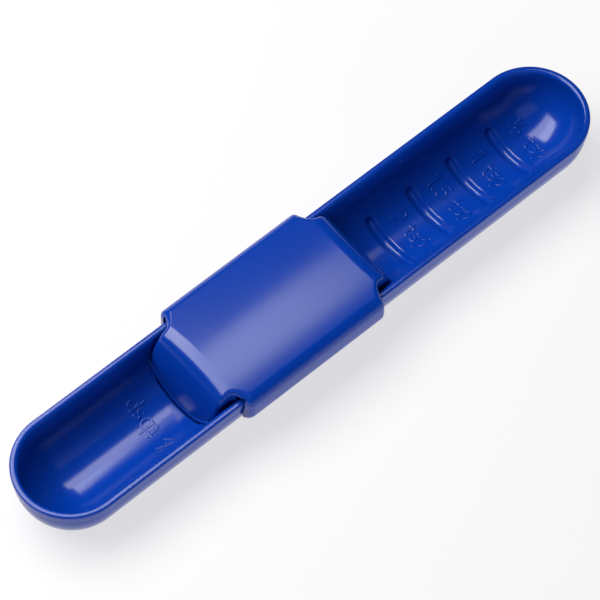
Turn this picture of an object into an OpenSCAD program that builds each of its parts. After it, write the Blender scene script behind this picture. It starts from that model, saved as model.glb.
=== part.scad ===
// Double-ended adjustable measuring spoon: one long trough with round ends,
// and a saddle that slides along it and closes off a measured bowl at each end.
// Origin: centre of the flat base. X runs along the spoon to the teaspoon end,
// Z points up out of the bowls. Millimetres.

/* [Spoon] */
// Length over both round ends
spoon_len = 158; // [150:1:168]
// Width across the rim
rim_w = 26; // [25.6:0.1:26.6]
// Height of the rim above the flat base
rim_h = 13.6; // [13:0.1:14.4]
// Radius of the half-round trough
trough_r = 11.3; // [11:0.1:11.5]
// Depth of the upright lip below the rim
lip_d = 2; // [1.5:0.1:2.4]
// Radius of the rounded underside
belly_r = 12.7; // [12.4:0.1:12.8]
// Depth of the underside's centre below the rim
belly_drop = 3.5; // [3.2:0.1:3.8]
// Rounding on the outer corner of the rim
rim_out_r = 0.6; // [0.3:0.1:0.7]
// Rounding on the inner corner of the rim
rim_in_r = 0.9; // [0.5:0.1:1]

/* [Graduation grooves] */
// Distance from one half-teaspoon groove to the next
groove_pitch = 11.95; // [11.8:0.05:12.2]
// Place of the half-teaspoon groove, from the middle of the spoon
first_groove_x = 59.9; // [59.4:0.1:60.4]
// Number of half-teaspoon grooves in the teaspoon bowl
tsp_grooves = 4; // [3:1:4]
// Depth of a groove in the trough's floor
groove_d = 0.55; // [0.55:0.05:0.7]
// Width of a groove
groove_w = 2.4; // [2:0.1:2.4]
// Angle that a groove runs up each side of the floor
groove_angle = 35; // [25:1:45]

/* [Saddle] */
// Length of the saddle where it wraps the spoon
saddle_len = 42.2; // [38:0.2:44]
// Radius of the bowed ends of the saddle, seen from above
bow_r = 57; // [30:1:200]
// Length over the two dams
dam_span = 53.4; // [51:0.2:56]
// Middle of the saddle as set, from the middle of the spoon
saddle_x = -10.3; // [-20:0.1:10]
// Width over the wrapping sides
saddle_w = 30.6; // [30:0.1:31]
// Height of the saddle's top above the rim
top_h = 3.6; // [3.4:0.1:4]
// Depth of the wrapping sides below the rim
wrap_d = 6.4; // [5.6:0.1:6.8]
// Radius of the sides where they curve in under the lip
tuck_r = 4.2; // [3.8:0.1:5]
// Half width of the tongue that reaches down to each dam
tongue_y = 10.4; // [10:0.1:10.5]
// Length of the sloping panel between the top and a dam
slope_run = 5.2; // [4.5:0.1:6]
// Angle at which that panel falls
slope_angle = 50; // [45:1:55]
// Radius from the panel down to a dam
shoulder_r = 4; // [3:0.1:4.5]
// Wall thickness of the saddle
wall = 1.4; // [1.2:0.1:1.5]
// Clearance between the saddle and the spoon
gap = 0.25; // [0.2:0.01:0.28]

/* [Hidden] */
$fn = 96;
far = 60;
end_x = spoon_len / 2 - rim_w / 2;
belly_z = rim_h - belly_drop;
lip_z = rim_h - lip_d;
groove_cut_r = (groove_w * groove_w / 4 + groove_d * groove_d) / (2 * groove_d);
groove_ring_r = trough_r + groove_d - groove_cut_r;
tsp_x = [for (i = [0 : tsp_grooves - 1]) first_groove_x - i * groove_pitch];
half_tbsp_x = 2 * groove_pitch - first_groove_x;
tbsp_x = 5 * groove_pitch - first_groove_x;
dam_r = trough_r - gap;
top_z = rim_h + top_h;
roof_z = top_z - wall;
crown_drop = 1.1;
tuck_drop = 3.1;
side_lean = 0.2;
bead_gap = 0.15;
corner_r = 1.6;
corner_y = saddle_w / 2 - corner_r - side_lean;
corner_z = top_z - crown_drop - corner_r;
crown_r = (corner_y * corner_y + crown_drop * crown_drop) / (2 * crown_drop);
tuck_y = saddle_w / 2 - tuck_r;
tuck_z = rim_h - tuck_drop;
side_drop = corner_z - tuck_z;
side_r = (side_drop * side_drop + side_lean * side_lean) / (2 * side_lean);
rider_w = 1.2;
rider_y = rim_w / 2 - rim_out_r - rider_w;
bead_r = trough_r - bead_gap;
bead_w = 0.7;
bead_h = 1.1;

// Half of the spoon's cross-section: x is the distance from the spoon's
// middle plane, y is the height above the base.
module spoon_half_section() {
    difference() {
        union() {
            intersection() {
                translate([0, belly_z]) circle(belly_r);
                square([far, lip_z]);
            }
            translate([0, lip_z]) square([rim_w / 2 - rim_out_r, lip_d]);
            translate([0, lip_z]) square([rim_w / 2, lip_d - rim_out_r]);
            translate([rim_w / 2 - rim_out_r, rim_h - rim_out_r]) circle(rim_out_r);
        }
        translate([0, rim_h]) circle(trough_r);
        difference() {
            translate([trough_r - rim_in_r, rim_h - rim_in_r]) square([2 * rim_in_r, far]);
            translate([trough_r + rim_in_r, rim_h - rim_in_r]) circle(rim_in_r);
        }
        translate([-far, -far]) square([far, 2 * far]);
    }
}

// A groove across the trough's floor with round ends.
module groove(x) {
    translate([x, 0, rim_h])
        rotate([0, 90, 0])
            union() {
                rotate([0, 0, -groove_angle])
                    rotate_extrude(angle = 2 * groove_angle)
                        translate([groove_ring_r, 0]) circle(groove_cut_r);
                for (side = [-1, 1])
                    rotate([0, 0, side * groove_angle])
                        translate([groove_ring_r, 0, 0]) sphere(groove_cut_r);
            }
}

module spoon_body() {
    color([0.02, 0.16, 0.62])
    difference() {
        union() {
            for (side = [0, 1])
                mirror([0, side, 0])
                    rotate([90, 0, 90])
                        translate([0, 0, -end_x])
                            linear_extrude(2 * end_x) spoon_half_section();
            for (side = [0, 180])
                rotate([0, 0, side])
                    translate([end_x, 0, 0])
                        rotate([0, 0, -90])
                            rotate_extrude(angle = 180) spoon_half_section();
        }
        for (x = tsp_x) groove(x);
        groove(half_tbsp_x);
        groove(tbsp_x);
    }
}

// Outside of the saddle, across the spoon: a low crown on top, rounded
// shoulders, and sides that bulge a little and then tuck in under the lip.
module saddle_outside() {
    intersection() {
        translate([0, top_z - crown_r]) circle(crown_r);
        intersection_for(side = [-1, 1])
            translate([side * (side_r - saddle_w / 2), tuck_z]) circle(side_r);
        union() {
            translate([-corner_y, rim_h]) square([2 * corner_y, far]);
            for (side = [-1, 1])
                translate([side * corner_y, corner_z]) circle(corner_r);
            translate([-far, tuck_z]) square([2 * far, corner_z - tuck_z]);
            translate([-tuck_y, rim_h - wrap_d]) square([2 * tuck_y, wrap_d]);
            intersection() {
                for (side = [-1, 1])
                    translate([side * tuck_y, tuck_z]) circle(tuck_r);
                translate([-far, rim_h - wrap_d]) square([2 * far, wrap_d]);
            }
        }
    }
}

// Space inside the wrapping sides: the spoon's outside with the clearance.
module saddle_inside() {
    intersection() {
        translate([0, belly_z]) circle(belly_r + gap);
        translate([-far, -far]) square([2 * far, far + lip_z]);
    }
    translate([-rim_w / 2 - gap, lip_z - gap])
        square([rim_w + 2 * gap, roof_z - lip_z + gap - crown_drop]);
}

// The wrapping shell with the two ribs that ride along the rim.
module saddle_section() {
    difference() {
        saddle_outside();
        saddle_inside();
    }
    for (side = [-1, 1])
        translate([side * (rider_y + rider_w / 2) - rider_w / 2, rim_h + gap])
            square([rider_w, roof_z - rim_h - gap]);
}

// Side view of the tongue and dams, inset by t: a sloping panel at each end
// of the top, then a round shoulder down to the dam.
module tongue_side(t) {
    r = shoulder_r - t;
    half = dam_span / 2 - t;
    difference() {
        union() {
            translate([-half, -far]) square([2 * half, far + top_z - t - r]);
            translate([r - half, 0]) square([2 * half - 2 * r, top_z - t]);
            for (side = [-1, 1])
                translate([side * (half - r), top_z - t - r]) circle(r);
        }
        for (side = [0, 1])
            mirror([side, 0])
                translate([dam_span / 2 - slope_run - t * tan(slope_angle / 2), top_z - t])
                    rotate(-slope_angle) square(far);
    }
}

module tongue_block(t) {
    intersection() {
        translate([0, tongue_y - t, 0])
            rotate([90, 0, 0]) linear_extrude(2 * (tongue_y - t)) tongue_side(t);
        rotate([90, 0, 90])
            translate([0, 0, -dam_span / 2])
                linear_extrude(dam_span)
                    translate([0, top_z - t - crown_r]) circle(crown_r);
    }
}

// A raised bead along a dam's lower edge, which rides just clear of the floor.
module dam_bead(x) {
    intersection() {
        translate([x, 0, rim_h])
            rotate([0, 90, 0])
                difference() {
                    translate([0, 0, -bead_w / 2]) cylinder(r = bead_r, h = bead_w);
                    translate([0, 0, -bead_w]) cylinder(r = bead_r - bead_h, h = 2 * bead_w);
                }
        translate([x - far / 2, -far / 2, rim_h - far - lip_d]) cube(far);
    }
}

module slider() {
    color([0.03, 0.20, 0.70])
    translate([saddle_x, 0, 0]) {
        difference() {
            union() {
                intersection() {
                    rotate([90, 0, 90])
                        translate([0, 0, -saddle_len / 2])
                            linear_extrude(saddle_len) saddle_section();
                    intersection_for(side = [-1, 1])
                        translate([side * (bow_r - saddle_len / 2), 0, 0]) cylinder(r = bow_r, h = far);
                }
                intersection() {
                    tongue_block(0);
                    translate([-dam_span / 2, 0, rim_h])
                        rotate([0, 90, 0])
                            union() {
                                cylinder(r = dam_r, h = dam_span);
                                translate([-far, -far / 2, 0]) cube([far, far, dam_span]);
                            }
                }
            }
            tongue_block(wall);
        }
        for (side = [-1, 1]) dam_bead(side * (dam_span - bead_w) / 2);
    }
}

spoon_body();
slider();
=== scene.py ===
import math
import bpy
import numpy as np
from mathutils import Matrix, Vector


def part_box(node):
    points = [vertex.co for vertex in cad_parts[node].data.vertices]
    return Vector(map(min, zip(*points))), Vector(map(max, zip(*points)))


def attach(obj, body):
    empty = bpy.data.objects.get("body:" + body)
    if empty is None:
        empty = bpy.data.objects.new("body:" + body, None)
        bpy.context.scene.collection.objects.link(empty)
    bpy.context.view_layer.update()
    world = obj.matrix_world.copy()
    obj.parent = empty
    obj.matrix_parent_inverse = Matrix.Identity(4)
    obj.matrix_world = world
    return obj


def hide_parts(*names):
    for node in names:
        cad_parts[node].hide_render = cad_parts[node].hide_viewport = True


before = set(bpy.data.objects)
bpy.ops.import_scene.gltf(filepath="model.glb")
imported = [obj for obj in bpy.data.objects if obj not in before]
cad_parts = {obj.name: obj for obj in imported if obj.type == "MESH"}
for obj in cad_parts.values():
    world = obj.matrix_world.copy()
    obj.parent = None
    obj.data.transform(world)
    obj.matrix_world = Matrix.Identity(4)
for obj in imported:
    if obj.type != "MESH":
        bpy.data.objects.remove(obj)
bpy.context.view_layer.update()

mm = 0.001
scene = bpy.context.scene
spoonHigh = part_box("spoon_body")[1]
sliderLow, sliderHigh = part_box("slider")
rimHeight = spoonHigh.z
endX = (spoonHigh.x - spoonHigh.y) / mm      # where the straight trough meets the round ends, mm
print("frame loaded, rim at", round(rimHeight / mm, 2), "mm")


class Sock:                       # one node socket that takes part in ordinary arithmetic
    def __init__(self, tree, out):
        self.tree = tree
        self.out = out

    def math(self, kind, *others):
        node = self.tree.nodes.new("ShaderNodeMath")
        node.operation = kind
        for slot, value in zip(node.inputs, (self, *others)):
            if isinstance(value, Sock):
                self.tree.links.new(value.out, slot)
            else:
                slot.default_value = value
        return Sock(self.tree, node.outputs[0])

    def __add__(self, other):
        return self.math("ADD", other)

    def __sub__(self, other):
        return self.math("SUBTRACT", other)

    def __rsub__(self, other):
        return self.math("MULTIPLY", -1).math("ADD", other)

    def __mul__(self, other):
        return self.math("MULTIPLY", other)

    __radd__ = __add__
    __rmul__ = __mul__


class Finish:                     # a material under construction
    def __init__(self, name):
        self.material = bpy.data.materials.new(name)
        self.material.use_nodes = True
        self.tree = self.material.node_tree
        self.tree.nodes.clear()
        self.place = self.node("ShaderNodeTexCoord", out="Object")

    def node(self, kind, settings=None, out=0, **values):
        # a value's name is its input's, with _ for a space, or i0, i1 and so on for its place in the list
        made = self.tree.nodes.new(kind)
        for key, value in (settings or {}).items():
            setattr(made, key, value)
        for key, value in values.items():
            numbered = key[0] == "i" and key[1:].isdigit()
            slot = made.inputs[int(key[1:]) if numbered else key.replace("_", " ")]
            if isinstance(value, Sock):
                self.tree.links.new(value.out, slot)
            else:
                slot.default_value = value
        return Sock(self.tree, made.outputs[out]) if made.outputs else None

    def stretched(self, x, y, z):
        return self.node("ShaderNodeMapping", Vector=self.place, Scale=(x, y, z))

    def noise(self, scale, detail=2, rough=0.5, at=None):
        return self.node("ShaderNodeTexNoise", out="Fac", Vector=at or self.place,
                         Scale=scale, Detail=detail, Roughness=rough)

    def band(self, value, low, high):          # 0 below low, 1 above high, smooth between
        return self.node("ShaderNodeMapRange", {"interpolation_type": "SMOOTHSTEP"},
                         Value=value, From_Min=low, From_Max=high)

    def blend(self, mask, first, second):
        return self.node("ShaderNodeMix", {"data_type": "RGBA"}, out=2, i0=mask, i6=first, i7=second)

    def close(self, **values):
        shader = self.node("ShaderNodeBsdfPrincipled", **values)
        self.node("ShaderNodeOutputMaterial", Surface=shader)
        return self.material


plastic = {
    "deep": (0.0006, 0.0300, 0.270, 1),     # royal blue
    "pale": (0.0009, 0.0335, 0.295, 1),     # where the pigment flows a little lighter
    "scuff": (0.060, 0.130, 0.480, 1),      # rubbed marks
    "scuffStrength": 0.3,
    "dust": (0.45, 0.50, 0.62, 1),
    "flowScale": 60,         # noise scales, to a metre
    "speckScale": 420,
    "speckPatches": 90,
    "scratchScale": 1500,
    "scratchPatches": 70,
    "cloudScale": 140,
    "gloss": {"rough": 0.17, "spread": 0.03, "grain": 2600, "depth": 0.0004 * mm, "dust": 0.45},
    "satin": {"rough": 0.19, "spread": 0.02, "grain": 5200, "depth": 0.0005 * mm, "dust": 0.25},
}


def makeBluePlastic(name, surface):
    f = Finish(name)
    flow = f.noise(plastic["flowScale"], 3, 0.55, f.stretched(0.35, 1, 1))
    colour = f.blend(f.band(flow, 0.35, 0.7), plastic["deep"], plastic["pale"])
    cells = f.node("ShaderNodeTexVoronoi", {"feature": "F1"}, out="Distance",
                   Vector=f.place, Scale=plastic["speckScale"])
    patches = f.band(f.noise(plastic["speckPatches"], 1), 0.60, 0.66)
    specks = (1 - f.band(cells, 0.035, 0.075)) * patches * surface["dust"]
    lines = f.noise(plastic["scratchScale"], 0, 0.5, f.stretched(0.02, 1, 1))
    scratches = f.band(lines, 0.80, 0.84) * f.band(f.noise(plastic["scratchPatches"], 1), 0.50, 0.62)
    colour = f.blend(scratches * plastic["scuffStrength"], colour, plastic["scuff"])
    colour = f.blend(specks, colour, plastic["dust"])
    cloud = f.noise(plastic["cloudScale"], 4, 0.6)
    roughness = surface["rough"] + (cloud - 0.5) * surface["spread"] + specks * 0.3
    height = f.noise(surface["grain"], 2, 0.55) + specks
    normal = f.node("ShaderNodeBump", Strength=1, Distance=surface["depth"], Height=height)
    return f.close(Base_Color=colour, Roughness=roughness, Normal=normal,
                   IOR=1.5, Specular_IOR_Level=0.4)


spoonFinish = makeBluePlastic("gloss_blue_plastic", plastic["gloss"])
sliderFinish = makeBluePlastic("satin_blue_plastic", plastic["satin"])
print("materials")


def addPiece(name, vertices, faces, finish, body, normals=None):
    mesh = bpy.data.meshes.new(name)
    mesh.from_pydata([tuple(v) for v in vertices], [], faces)
    mesh.validate()
    mesh.shade_smooth()
    if normals is not None:
        mesh.normals_split_custom_set_from_vertices([tuple(n) for n in normals])
    mesh.materials.append(finish)
    piece = bpy.data.objects.new(name, mesh)
    scene.collection.objects.link(piece)
    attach(piece, body)
    return piece


def arc(cx, cy, rx, ry, start, end, count=14):     # angles in degrees
    turn = np.radians(np.linspace(start, end, count))
    return [(cx + rx * math.cos(t), cy + ry * math.sin(t)) for t in turn]


spoon = {                     # mm and degrees
    "troughRadius": 11.3,
    "floorSteps": 74,         # faces from the rim down to the middle of the floor
    "bellyRadius": 12.7,
    "bellyDrop": 3.5,         # centre of the underside below the rim
    "stripSteps": (0, 3, 6),  # points across half of the flat strip underneath
    "lipDepth": 2.0,
    "lipCorner": 0.12,        # rounding of the lip's lower corner
    "lipFall": 0.02,          # how little the lip's underside falls
    "crestOut": 0.5,          # rounding outside the crest of the rim
    "crestIn": 0.85,          # rounding inside it
    "crestEnd": 172,          # how far round the inner crest goes before the trough's wall
    "crestStep": 0.05,
    "firstGroove": 59.9,      # the half-teaspoon groove, from the middle of the spoon
    "groovePitch": 11.95,     # half a teaspoon
    "grooveDepth": 0.9,
    "grooveHalf": 1.25,
    "grooveAngle": 35,
    "grooveSteep": 1.6,       # how much steeper than a plain V its walls are
    "grooveShoulder": 0.22,   # softening where a wall leaves the floor
    "grooveBottom": 0.16,     # softening along the bottom
    "grooveSharp": 0.4,       # how much of that softening is taken back
    "grooveBlend": 0.12,      # softening where the walls reach full depth
    "grooveReach": 1.9,       # how far from a groove the mesh is fine, and in how many places
    "grooveStations": 31,
    "plainStep": 1.6,         # longest step between stations elsewhere
    "endSteps": 72,           # faces round each end
}
tspGrooves = [spoon["firstGroove"] - i * spoon["groovePitch"] for i in range(4)]
tbspGrooves = [i * spoon["groovePitch"] - spoon["firstGroove"] for i in (2, 5)]


def halfSection():
    # distance from the middle plane and height above the base, for the outside with the rim,
    # then for the trough's wall
    rim = rimHeight / mm
    half = spoonHigh.y / mm
    trough = spoon["troughRadius"]
    belly = rim - spoon["bellyDrop"]
    lip = rim - spoon["lipDepth"]
    r = spoon["bellyRadius"]
    foot = math.degrees(math.asin(-belly / r))
    top = math.degrees(math.asin((lip - belly) / r))
    outside = [(x, 0) for x in spoon["stripSteps"]]
    outside += arc(0, belly, r, r, foot, top, 26)
    edge = math.cos(math.radians(top)) * r
    corner, fall = spoon["lipCorner"], spoon["lipFall"]
    outside += [(edge + corner / 2, lip + fall), (half - corner - 2 * fall, lip + 2 * fall)]
    outside += arc(half - corner, lip + 1.5 * corner, corner, corner, -70, 0, 4)
    outside += [(half, lip + share * spoon["lipDepth"]) for share in (0.3, 0.5)]
    out, inside = spoon["crestOut"], spoon["crestIn"]
    outside += arc(half - out, rim - out, out, out, 0, 88, 9)
    outside += arc(trough + inside, rim - inside, inside, inside, 92, spoon["crestEnd"], 12)
    drop = inside - inside * math.sin(math.radians(spoon["crestEnd"])) + spoon["crestStep"]
    start = math.asin(drop / trough)
    wall = [(trough * math.cos(turn), rim - trough * math.sin(turn))
            for turn in np.linspace(start, math.pi / 2, spoon["floorSteps"])]
    wall[-1] = (0, rim - trough)
    return outside, wall


def spoonStations():
    # places along the straight part, close together at each groove
    fine = [-endX, endX]
    reach = spoon["grooveReach"]
    for place in tspGrooves + tbspGrooves:
        fine += list(place + np.linspace(-reach, reach, spoon["grooveStations"]))
    fine.sort()
    stations = [fine[0]]
    for x in fine[1:]:
        gap = x - stations[-1]
        parts = max(1, math.ceil(gap / spoon["plainStep"]))
        stations += [stations[-1] + gap * (i + 1) / parts for i in range(parts)]
    return stations


def grooveDepth(x, angle):
    # how deep the floor is cut at x and at an angle round from the floor's middle, in radians
    depth, shoulder, bottom = spoon["grooveDepth"], spoon["grooveShoulder"], spoon["grooveBottom"]
    blend = spoon["grooveBlend"]
    past = np.maximum(0, np.abs(angle) - math.radians(spoon["grooveAngle"])) * spoon["troughRadius"]
    total = np.zeros_like(x)
    for place in tspGrooves + tbspGrooves:
        away = np.hypot(x - place, past)
        away = np.hypot(away, bottom) - bottom * spoon["grooveSharp"]
        cut = (1 - away / spoon["grooveHalf"]) * depth * spoon["grooveSteep"]
        cut = -np.log(np.exp(-cut / blend) + math.exp(-depth / blend)) * blend
        soft = np.maximum(shoulder - np.abs(cut), 0) / shoulder
        total = np.maximum(total, np.maximum(cut, 0) + soft * soft * shoulder / 4)
    return total


def straightPart(half, stations):
    # both sides of the trough; grid holds the vertex at each station, side and point of the section
    n = len(half)
    vertices, faces = [], []
    grid = np.zeros((len(stations), 2, n), int)
    for side, sign in enumerate((-1, 1)):
        for j in range(n):
            for i, x in enumerate(stations):
                if side == 1 and j in (0, n - 1):     # the middle plane's points serve both sides
                    grid[i, 1, j] = grid[i, 0, j]
                    continue
                grid[i, side, j] = len(vertices)
                vertices.append((x, sign * half[j, 0], half[j, 1]))
    for i in range(len(stations) - 1):
        for j in range(n - 1):
            for side in (0, 1):
                near, far = grid[i, side], grid[i + 1, side]
                loop = (near[j], far[j], far[j + 1], near[j + 1])
                faces.append(loop if side == 0 else loop[::-1])
    return vertices, faces, grid


def addRoundEnd(vertices, faces, half, rows, end):
    # half a turn of the section about its middle, between the two rows at one end of the straight part
    n, steps = len(half), spoon["endSteps"]
    ring = np.zeros((steps + 1, n), int)
    ring[0], ring[steps] = rows
    for k in range(1, steps):
        turn = -math.pi / 2 + math.pi * k / steps
        ring[k, 0], ring[k, n - 1] = rows[0, 0], rows[0, n - 1]
        for j in range(1, n - 1):
            ring[k, j] = len(vertices)
            out, height = half[j]
            vertices.append((end * (endX + out * math.cos(turn)), out * math.sin(turn), height))
    for k in range(steps):
        for j in range(n - 1):
            loop = [ring[k, j], ring[k + 1, j], ring[k + 1, j + 1], ring[k, j + 1]]
            loop = [v for s, v in enumerate(loop) if v not in loop[:s]]
            faces.append(tuple(loop if end == 1 else reversed(loop)))


def makeSpoon():
    outside, wall = halfSection()
    half = np.array(outside + wall)
    vertices, faces, grid = straightPart(half, spoonStations())
    addRoundEnd(vertices, faces, half, grid[-1], 1)
    addRoundEnd(vertices, faces, half, grid[0], -1)
    points = np.array(vertices)
    wallIds = np.unique(grid[:, :, len(outside):])
    p = points[wallIds]
    rim = rimHeight / mm
    down = np.stack([np.zeros(len(p)), p[:, 1], p[:, 2] - rim], 1)
    cut = grooveDepth(p[:, 0], np.arctan2(p[:, 1], rim - p[:, 2]))
    points[wallIds] = p + down / np.linalg.norm(down, axis=1)[:, None] * cut[:, None]
    piece = addPiece("spoon_shell", points * mm, faces, spoonFinish, "spoon")
    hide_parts("spoon_body")
    return piece


spoonPiece = makeSpoon()
print("spoon", len(spoonPiece.data.polygons), "faces")


marks = {                     # raised graduations, mm
    "height": 3.7,            # of a numeral
    "raise": 0.125,           # under the clearance of the beads on the dams
    "buried": 0.3,            # share of that by which a stroke's underside is sunk in the floor
    "plump": 1.7,             # how soon a stroke's flank reaches full height
    "stroke": 0.31,           # half width of a stroke
    "sides": 12,              # points round a stroke
    "step": 0.22,             # along a stroke
    "capSteps": (0.45, 0.8, 0.98),
    "gap": 0.62,              # between letters
    "ahead": 6.5,             # from a teaspoon groove to the middle of its mark
    "tbspAhead": 9.5,
    "tbspGrow": 1.08,
}

# strokes in a box one unit high, and the width taken up; h stands for one half
glyphs = {
    "1": ([[(0.05, 0.8), (0.27, 1), (0.27, 0)]], 0.42),
    "2": ([arc(0.28, 0.73, 0.27, 0.27, 165, -38) + [(0.02, 0), (0.56, 0)]], 0.58),
    "5": ([[(0.50, 1), (0.12, 1), (0.07, 0.56)] + arc(0.26, 0.32, 0.28, 0.32, 118, -140)], 0.56),
    ".": ([[(0.05, 0.0), (0.08, 0.03)]], 0.14),
    "t": ([[(0.16, 0.86), (0.16, 0.16)] + arc(0.30, 0.16, 0.14, 0.16, 180, 285, 6),
           [(0, 0.62), (0.34, 0.62)]], 0.38),
    "s": ([arc(0.21, 0.48, 0.18, 0.155, 35, 255, 10) + arc(0.21, 0.16, 0.20, 0.165, 85, -145, 10)], 0.42),
    "p": ([[(0.03, 0.65), (0.03, -0.32)], arc(0.26, 0.32, 0.23, 0.32, 180, -180, 18)], 0.52),
    "b": ([[(0.03, 1), (0.03, 0)], arc(0.26, 0.32, 0.23, 0.32, 180, -180, 18)], 0.52),
    "h": ([[(0.05, 0.95), (0.16, 1.06), (0.16, 0.5)], [(0.05, 0.1), (0.52, 0.98)],
           [(px * 0.8 + 0.36, py * 0.52 - 0.04)
            for px, py in arc(0.28, 0.73, 0.27, 0.27, 165, -38, 10) + [(0.02, 0), (0.56, 0)]]], 0.86),
    " ": ([], 0.22),
}


def sampled(line):
    points = [np.array(line[0], float)]
    for a, b in zip(line, line[1:]):
        a, b = np.array(a, float), np.array(b, float)
        parts = max(1, round(np.linalg.norm(b - a) / marks["step"]))
        points += [a + (b - a) * (i + 1) / parts for i in range(parts)]
    return np.array(points)


def strokeStations(path):
    # centre, direction and size along a stroke, with a round cap at each end
    lead = np.vstack([path[1] - path[0], path[2:] - path[:-2], path[-1] - path[-2]])
    lead /= np.linalg.norm(lead, axis=1)[:, None]
    reach = marks["stroke"]
    caps = [(e, math.sqrt(1 - e * e)) for e in marks["capSteps"]]
    first = [(path[0] - lead[0] * reach * e, lead[0], size) for e, size in reversed(caps)]
    last = [(path[-1] + lead[-1] * reach * e, lead[-1], size) for e, size in caps]
    return first + [(p, t, 1) for p, t in zip(path, lead)] + last


def onFloor(x, along):
    # point and inward normal of the trough's floor at x and at an arc length from its middle
    r = spoon["troughRadius"]
    over = max(0.0, abs(x) - endX) * (1 if x > 0 else -1)
    out = np.array([over, r * math.sin(along / r), -r * math.cos(along / r)])
    out *= r / np.linalg.norm(out)
    return np.array([x - over + out[0], out[1], rimHeight / mm + out[2]]), -out / r


def addStroke(vertices, faces, path, middle, facing):
    sides = marks["sides"]
    rings = []
    for p, t, size in strokeStations(path):
        across = np.array([-t[1], t[0]])
        ring = []
        for k in range(sides):
            turn = 2 * math.pi * k / sides
            spot = p + across * math.cos(turn) * marks["stroke"] * size
            lift = max(-marks["buried"], min(1, math.sin(turn) * marks["plump"])) * marks["raise"] * size
            floor, normal = onFloor(middle + facing * spot[1], -facing * spot[0])
            ring.append(len(vertices))
            vertices.append(floor + normal * lift)
        rings.append(ring)
    for a, b in zip(rings, rings[1:]):
        for k in range(sides):
            m = (k + 1) % sides
            loop = (a[k], b[k], b[m], a[m])
            faces.append(loop if facing > 0 else loop[::-1])
    for ring, outward in ((rings[0], facing > 0), (rings[-1], facing < 0)):
        faces.append(tuple(ring if outward else reversed(ring)))


def makeMark(name, text, groove, facing, ahead, grow=1.0):
    # facing 1: tops towards +X and read towards -Y; -1: the other way round
    height = marks["height"] * grow
    widths = [glyphs[sign][1] * height + marks["gap"] for sign in text]
    run = -(sum(widths) - marks["gap"]) / 2
    vertices, faces = [], []
    for sign, width in zip(text, widths):
        for stroke in glyphs[sign][0]:
            path = sampled([(run + px * height, (py - 0.5) * height) for px, py in stroke])
            addStroke(vertices, faces, path, groove + facing * ahead, facing)
        run += width
    addPiece(name, np.array(vertices) * mm, faces, spoonFinish, "spoon")


tspMarks = (("mark_half_tsp", "h tsp"), ("mark_one_tsp", "1 tsp"),
            ("mark_one_and_half_tsp", "1.5 tsp"), ("mark_two_tsp", "2 tsp"))
for (name, text), groove in zip(tspMarks, tspGrooves):
    makeMark(name, text, groove, 1, marks["ahead"])
tbspMarks = (("mark_half_tbsp", "h tbsp"), ("mark_one_tbsp", "1 tbsp"))
for (name, text), groove in zip(tbspMarks, tbspGrooves):
    makeMark(name, text, groove, -1, marks["tbspAhead"], marks["tbspGrow"])
print("graduations")


slider = {                    # mm and degrees
    "grid": 0.30,             # mesh step
    "crownDrop": 1.1,         # fall of the crowned top towards its sides
    "corner": 1.6,            # where the crown ends above the sides
    "sideRound": 2.3,         # rounding between the top and the sides
    "endRound": 1.0,          # rounding of the bowed end edges
    "roundGrows": (11.0, 2.5),  # where that rounding starts to widen to the sides', and over what width
    "tuckRadius": 4.2,
    "tuckDrop": 3.1,
    "wrapDepth": 6.4,
    "hemRound": 0.4,          # lower edge of the wrapping sides
    "sideLean": 0.2,
    "saddleLength": 42.2,
    "bow": 57.0,
    "tongue": 10.4,           # half width of the tongues
    "tongueRound": 0.3,
    "junction": 1.4,          # fillet where a tongue leaves the saddle
    "slopeRun": 5.2,          # the panel that falls from the top to a dam
    "slopeAngle": 50,
    "crestRound": 1.5,        # rounding above that panel
    "shoulder": 4.0,          # rounding below it
    "wall": 1.4,
    "gap": 0.25,
    "rimRoom": 1.3,           # height of the space over the spoon's rim
    "rimRoomRound": 0.2,
    "cavityRound": 0.6,       # edges of the hollow inside
    "cavityLip": 0.25,
    "bead": 0.35,             # half thickness of the bead along a dam's lower edge
    "beadGap": 0.15,
    "beadTop": 1.5,           # where the bead starts below the rim, and over what depth it thickens
    "beadTaper": 5.0,
    "beadThin": 0.02,         # share of its thickness at the start
    "beadFillet": 0.15,
    "pulls": 4,               # times that the mesh is pulled onto the surface
}


def cutRound(a, b, r):         # both solids, with a round edge of radius r where they meet
    return np.minimum(np.maximum(a, b), -r) + np.hypot(np.maximum(a + r, 0), np.maximum(b + r, 0))


def joinRound(a, b, r):        # either solid, with a fillet of radius r between them
    return np.maximum(np.minimum(a, b), r) - np.hypot(np.maximum(r - a, 0), np.maximum(r - b, 0))


def crownField(y, z, top, half):
    drop = slider["crownDrop"]
    cornerY = half - slider["corner"] - slider["sideLean"]
    crown = (cornerY ** 2 + drop ** 2) / (2 * drop)
    return np.hypot(y, z - top + crown) - crown


def saddleField(x, y, z, top, half):
    # within the wrapping sides and the bowed ends
    lean, tuckDrop, tuckRadius, bow = (slider[key] for key in ("sideLean", "tuckDrop", "tuckRadius", "bow"))
    drop = top - slider["crownDrop"] - slider["corner"] + tuckDrop
    bulge = (drop ** 2 + lean ** 2) / (2 * lean)
    side = np.hypot(y + bulge - half, np.maximum(z + tuckDrop, 0)) - bulge
    tuck = np.hypot(np.maximum(y - half + tuckRadius, 0), z + tuckDrop) - tuckRadius
    side = np.where(z > -tuckDrop, side, tuck)
    ends = np.hypot(x + bow - slider["saddleLength"] / 2, y) - bow
    return cutRound(cutRound(side, ends, slider["endRound"]), -slider["wrapDepth"] - z, slider["hemRound"])


def tongueField(x, y, z, span):
    # within the tongues' sides and the dams' faces, down to the trough's floor
    trough = np.where(z < 0, np.hypot(y, z), y) - spoon["troughRadius"] + slider["gap"]
    tongue = cutRound(y - slider["tongue"], trough, slider["tongueRound"])
    return cutRound(tongue, x - span, slider["tongueRound"])


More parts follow.
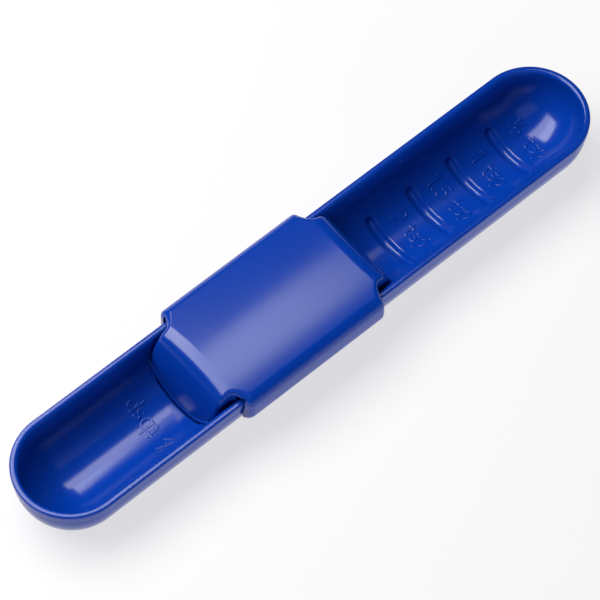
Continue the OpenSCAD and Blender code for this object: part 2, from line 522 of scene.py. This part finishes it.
def rimSpaceField(y, z):
    # the space that the spoon's lip and underside take up inside the saddle, with the clearance
    belly = np.hypot(y, z + spoon["bellyDrop"]) - spoon["bellyRadius"]
    lip = y - spoonHigh.y / mm
    wall = np.where(z < -spoon["lipDepth"], belly, lip)
    wall = np.maximum(wall, spoon["troughRadius"] - np.hypot(y, z))
    return np.maximum(wall, z - slider["rimRoom"]) - slider["gap"]


def beadField(x, y, z, span):
    top = slider["beadTop"]
    thick = slider["bead"] * np.clip((-z - top) / slider["beadTaper"], slider["beadThin"], 1)
    across = np.hypot(y, z) - spoon["troughRadius"] + slider["beadGap"] + thick
    return np.maximum(np.hypot(across, x - span + thick) - thick, z + top)


def sliderField(p):
    # signed distance to the slider's surface from its middle at rim height
    x, y, z = np.abs(p[..., 0]), np.abs(p[..., 1]), p[..., 2]
    top = (sliderHigh.z - rimHeight) / mm
    half = (sliderHigh.y - sliderLow.y) / 2 / mm
    span = (sliderHigh.x - sliderLow.x) / 2 / mm
    fall, wall = math.radians(slider["slopeAngle"]), slider["wall"]
    panel = (x - span + slider["slopeRun"]) * math.sin(fall) + (z - top) * math.cos(fall)
    crest = cutRound(crownField(y, z, top, half), panel, slider["crestRound"])
    roof = cutRound(crest, x - span, slider["shoulder"])
    start, width = slider["roundGrows"]
    grown = np.clip((y - start) / width, 0, 1)
    edge = slider["endRound"] + (slider["sideRound"] - slider["endRound"]) * grown
    plan = joinRound(saddleField(x, y, z, top, half), tongueField(x, y, z, span), slider["junction"])
    solid = cutRound(roof, plan, edge)
    solid = cutRound(solid, -rimSpaceField(y, z), slider["rimRoomRound"])
    cavity = cutRound(crest + wall, x - span + wall, slider["shoulder"] - wall)
    cavity = cutRound(cavity, y - slider["tongue"] + wall, slider["cavityRound"])
    solid = cutRound(solid, -cavity, slider["cavityLip"])
    return joinRound(solid, beadField(x, y, z, span), slider["beadFillet"])


def slope(field, points, tiny=0.02):
    steps = [field(points + tiny * e) - field(points - tiny * e) for e in np.eye(3)]
    normals = np.stack(steps, 1)
    return normals / np.maximum(np.linalg.norm(normals, axis=1), 1e-9)[:, None]


def crossedCells(value):
    # one point for each cell that the surface crosses, in cells, and each cell's number or -1
    size = np.array(value.shape) - 1

    def shifted(move):
        return value[move[0]:move[0] + size[0], move[1]:move[1] + size[1], move[2]:move[2] + size[2]]

    total, count = np.zeros((*size, 3)), np.zeros(size)
    for a in [(a, b, c) for a in (0, 1) for b in (0, 1) for c in (0, 1)]:
        for axis in range(3):
            if a[axis]:
                continue
            b = tuple(v + (k == axis) for k, v in enumerate(a))
            va, vb = shifted(a), shifted(b)
            crossed = (va < 0) != (vb < 0)
            share = np.where(crossed, va / np.where(crossed, va - vb, 1), 0)
            spot = np.array(a, float) + share[..., None] * np.eye(3)[axis]
            total += spot * crossed[..., None]
            count += crossed
    live = count > 0
    index = np.full(size, -1)
    index[live] = np.arange(live.sum())
    return np.stack(np.nonzero(live), 1) + total[live] / count[live][:, None], index


def crossedFaces(value, index):
    # a quad between the four cells round each grid edge that the surface crosses
    size = index.shape
    inside = value < 0
    faces = []
    for axis in range(3):
        u, v = (axis + 1) % 3, (axis + 2) % 3
        first = [slice(None)] * 3
        second = [slice(None)] * 3
        first[axis] = slice(0, -1)
        second[axis] = slice(1, None)
        change = inside[tuple(first)].astype(int) - inside[tuple(second)].astype(int)
        spots = np.stack(np.nonzero(change), 1)
        signs = change[tuple(spots.T)]
        keep = (spots[:, u] > 0) & (spots[:, v] > 0) & (spots[:, u] < size[u]) & (spots[:, v] < size[v])
        spots, signs = spots[keep], signs[keep]
        loop = []
        for du, dv in ((-1, -1), (0, -1), (0, 0), (-1, 0)):
            near = spots.copy()
            near[:, u] += du
            near[:, v] += dv
            loop.append(index[tuple(near.T)])
        loop = np.stack(loop, 1)
        loop[signs < 0] = loop[signs < 0][:, ::-1]
        faces.append(loop)
    return np.concatenate(faces)


def surfaceOf(field, low, high, step):
    # points, quads and normals where the field is zero
    axes = [np.arange(low[k], high[k] + step, step) for k in range(3)]
    value = field(np.stack(np.meshgrid(*axes, indexing="ij"), -1))
    spots, index = crossedCells(value)
    points = spots * step + np.array(low)
    for pull in range(slider["pulls"]):
        points -= slope(field, points) * np.clip(field(points), -step, step)[:, None]
    return points, crossedFaces(value, index), slope(field, points)


def makeSlider():
    middle = (sliderLow + sliderHigh) / 2
    middle = np.array((middle.x, middle.y, rimHeight)) / mm
    pad = slider["grid"] * 2.5
    low = np.array(sliderLow) / mm - middle - pad
    high = np.array(sliderHigh) / mm - middle + pad
    points, faces, normals = surfaceOf(sliderField, low, high, slider["grid"])
    piece = addPiece("slider_shell", (points + middle) * mm, faces.tolist(), sliderFinish,
                     "saddle", normals)
    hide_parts("slider")
    return piece


sliderPiece = makeSlider()
print("slider", len(sliderPiece.data.polygons), "faces")


camera = {
    "azimuth": 42.755,       # turn of the spoon under the camera, degrees
    "elevation": 60.724,
    "roll": 1.811,
    "distance": 0.70505,     # metres
    "lens": 196.31,          # millimetres, on a sensor as wide as the next value
    "sensor": 36,
    "aside": 0.001906,
    "lift": -0.003652,
}


def placeCamera():
    turn, rise = math.radians(camera["azimuth"]), math.radians(camera["elevation"])
    roll = math.radians(camera["roll"])
    right = Vector((math.cos(turn), -math.sin(turn), 0))
    ahead = Vector((math.sin(turn) * math.cos(rise), math.cos(turn) * math.cos(rise), -math.sin(rise)))
    up = right.cross(ahead)
    right, up = right * math.cos(roll) + up * math.sin(roll), up * math.cos(roll) - right * math.sin(roll)
    place = Vector((0, 0, rimHeight)) - ahead * camera["distance"]
    place += up * camera["lift"] - right * camera["aside"]
    data = bpy.data.cameras.new("camera")
    data.lens = camera["lens"]
    data.sensor_width = camera["sensor"]
    data.clip_start = 0.01
    data.clip_end = 20
    holder = bpy.data.objects.new("camera", data)
    scene.collection.objects.link(holder)
    pose = Matrix((right, up, -ahead)).transposed().to_4x4()
    pose.translation = place
    holder.matrix_world = pose
    scene.camera = holder


placeCamera()
print("camera")


studio = {
    "room": 0.02,          # brightness of the dark room
    "roomColour": (0.9, 0.94, 1.0, 1),
    "floorSize": 6.0,
    "paper": (0.22, 0.22, 0.22, 1),
    "floorGlow": 0.68,     # the table is lit from below too
    "glowColour": (1, 0.99, 1, 1),
    "lamps": {             # centre, size and power of each softbox, its tilt from facing down in degrees,
                           # and whether it shows in gloss
        "key": ((-0.169, 0.140, 0.5), (0.733, 0.156), 2.3, 0, True),
        "back": ((-0.215, 0.391, 0.5), (0.650, 0.330), 6.0, 0, True),
        "bounce": ((-0.20, -0.44, 0.5), (0.60, 0.42), 0.32, 0, True),
        "front": ((0.05, -1.0, 0.13), (1.6, 0.22), 7.0, 90, False),
    },
}


def addLamp(name, place, size, power, tilt, inGloss):
    data = bpy.data.lights.new(name, "AREA")
    data.shape = "RECTANGLE"
    data.size, data.size_y = size
    data.energy = power
    lamp = bpy.data.objects.new(name, data)
    scene.collection.objects.link(lamp)
    lamp.location = place
    lamp.rotation_euler.x = math.radians(tilt)
    lamp.visible_glossy = inGloss


def makeRoom():
    world = bpy.data.worlds.new("studio")
    scene.world = world
    world.use_nodes = True
    back = world.node_tree.nodes["Background"]
    back.inputs["Color"].default_value = studio["roomColour"]
    back.inputs["Strength"].default_value = studio["room"]


def makeFloor():
    half = studio["floorSize"] / 2
    corners = [(x * half, y * half, 0) for x, y in ((-1, -1), (1, -1), (1, 1), (-1, 1))]
    mesh = bpy.data.meshes.new("floor")
    mesh.from_pydata(corners, [], [(0, 1, 2, 3)])
    floor = bpy.data.objects.new("floor", mesh)
    scene.collection.objects.link(floor)
    paper = Finish("white_paper")
    mesh.materials.append(paper.close(Base_Color=studio["paper"], Roughness=0.9, Specular_IOR_Level=0.0,
                                      Emission_Color=studio["glowColour"],
                                      Emission_Strength=studio["floorGlow"]))


makeRoom()
makeFloor()
for name, settings in studio["lamps"].items():
    addLamp(name, *settings)
scene.view_settings.view_transform = "Standard"
print("studio")
